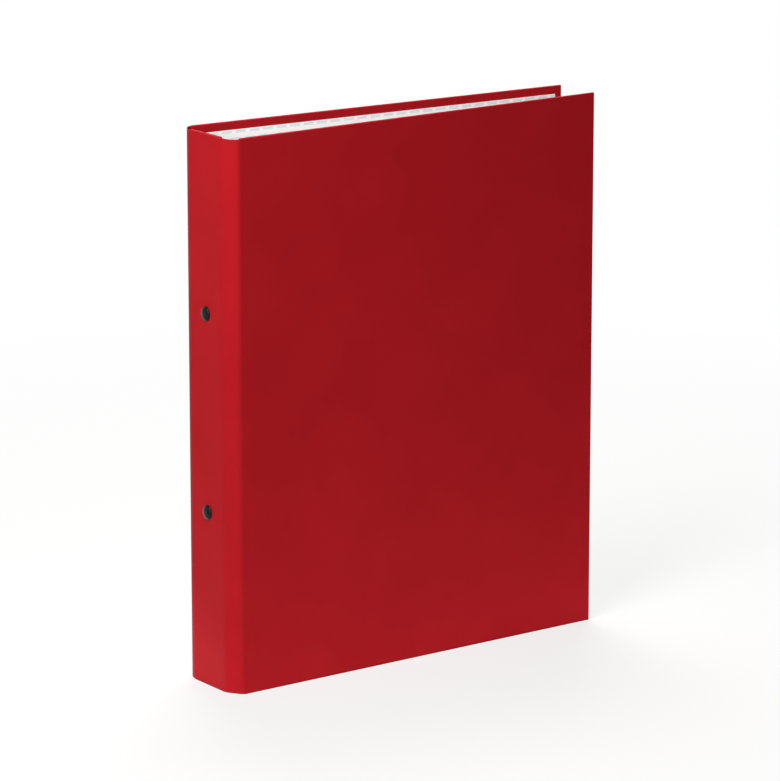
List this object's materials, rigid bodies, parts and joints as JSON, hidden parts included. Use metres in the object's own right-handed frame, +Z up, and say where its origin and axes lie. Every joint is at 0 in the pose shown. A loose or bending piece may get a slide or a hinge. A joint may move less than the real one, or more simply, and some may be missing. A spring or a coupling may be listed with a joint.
{
  "type": "ring binder",
  "caption": "Upright A4 ring binder: red wrapped boards folding on creased hinge bands, with a snap ring mechanism riveted inside the spine.",
  "frame": {"origin": "middle of the base: centred between the rivet heads and the fore-edge and between the covers, at the height of the bottom edges", "axes": "+Z up along the spine, +X from the spine to the fore-edge, front cover towards -Y, back cover towards +Y"},
  "size_m": [0.2608, 0.052, 0.32],
  "materials": {
    "red_wrap": "satin red laminated paper",
    "greyboard": "raw grey board",
    "white_lining": "smooth white lining paper",
    "nickel_steel": "polished nickel plated steel",
    "spring_steel": "plain spring steel"
  },
  "bodies": {
    "spine": {"spine_wrap": "red_wrap", "spine_board": "greyboard", "spine_lining": "white_lining", "ring_shroud": "nickel_steel", "upper_post": "nickel_steel", "lower_post": "nickel_steel", "upper_rivet": "nickel_steel", "lower_rivet": "nickel_steel"},
    "front_hinge": {"front_hinge_wrap": "red_wrap", "front_hinge_lining": "white_lining"},
    "front_cover": {"front_wrap": "red_wrap", "front_board": "greyboard", "front_lining": "white_lining"},
    "back_hinge": {"back_hinge_wrap": "red_wrap", "back_hinge_lining": "white_lining"},
    "back_cover": {"back_wrap": "red_wrap", "back_board": "greyboard", "back_lining": "white_lining"},
    "front_rings": {"front_blade": "spring_steel", "upper_front_half_ring": "nickel_steel", "lower_front_half_ring": "nickel_steel"},
    "back_rings": {"back_blade": "spring_steel", "upper_back_half_ring": "nickel_steel", "lower_back_half_ring": "nickel_steel"}
  },
  "joints": [
    {"name": "front_spine_crease", "type": "hinge", "parent": "spine", "child": "front_hinge", "pos_m": [-0.12846, -0.015, 0.16], "axis": [0, 0, -1], "range_deg": [-1.5, 90]},
    {"name": "front_board_crease", "type": "hinge", "parent": "front_hinge", "child": "front_cover", "pos_m": [-0.12144, -0.02571, 0.16], "axis": [0, 0, -1], "range_deg": [-1.5, 90]},
    {"name": "back_spine_crease", "type": "hinge", "parent": "spine", "child": "back_hinge", "pos_m": [-0.12846, 0.015, 0.16], "axis": [0, 0, 1], "range_deg": [-1.5, 90]},
    {"name": "back_board_crease", "type": "hinge", "parent": "back_hinge", "child": "back_cover", "pos_m": [-0.12144, 0.02571, 0.16], "axis": [0, 0, 1], "range_deg": [-1.5, 90]},
    {"name": "front_ring_snap", "type": "hinge", "parent": "spine", "child": "front_rings", "pos_m": [-0.12436, -0.0088, 0.16], "axis": [0, 0, -1], "range_deg": [0, 12]},
    {"name": "back_ring_snap", "type": "hinge", "parent": "spine", "child": "back_rings", "pos_m": [-0.12436, 0.0088, 0.16], "axis": [0, 0, 1], "range_deg": [0, 12]}
  ],
  "couplings": [
    {"joint": "front_board_crease", "follows": "front_spine_crease", "ratio": 1},
    {"joint": "back_board_crease", "follows": "back_spine_crease", "ratio": 1},
    {"joint": "back_ring_snap", "follows": "front_ring_snap", "ratio": 1}
  ]
}
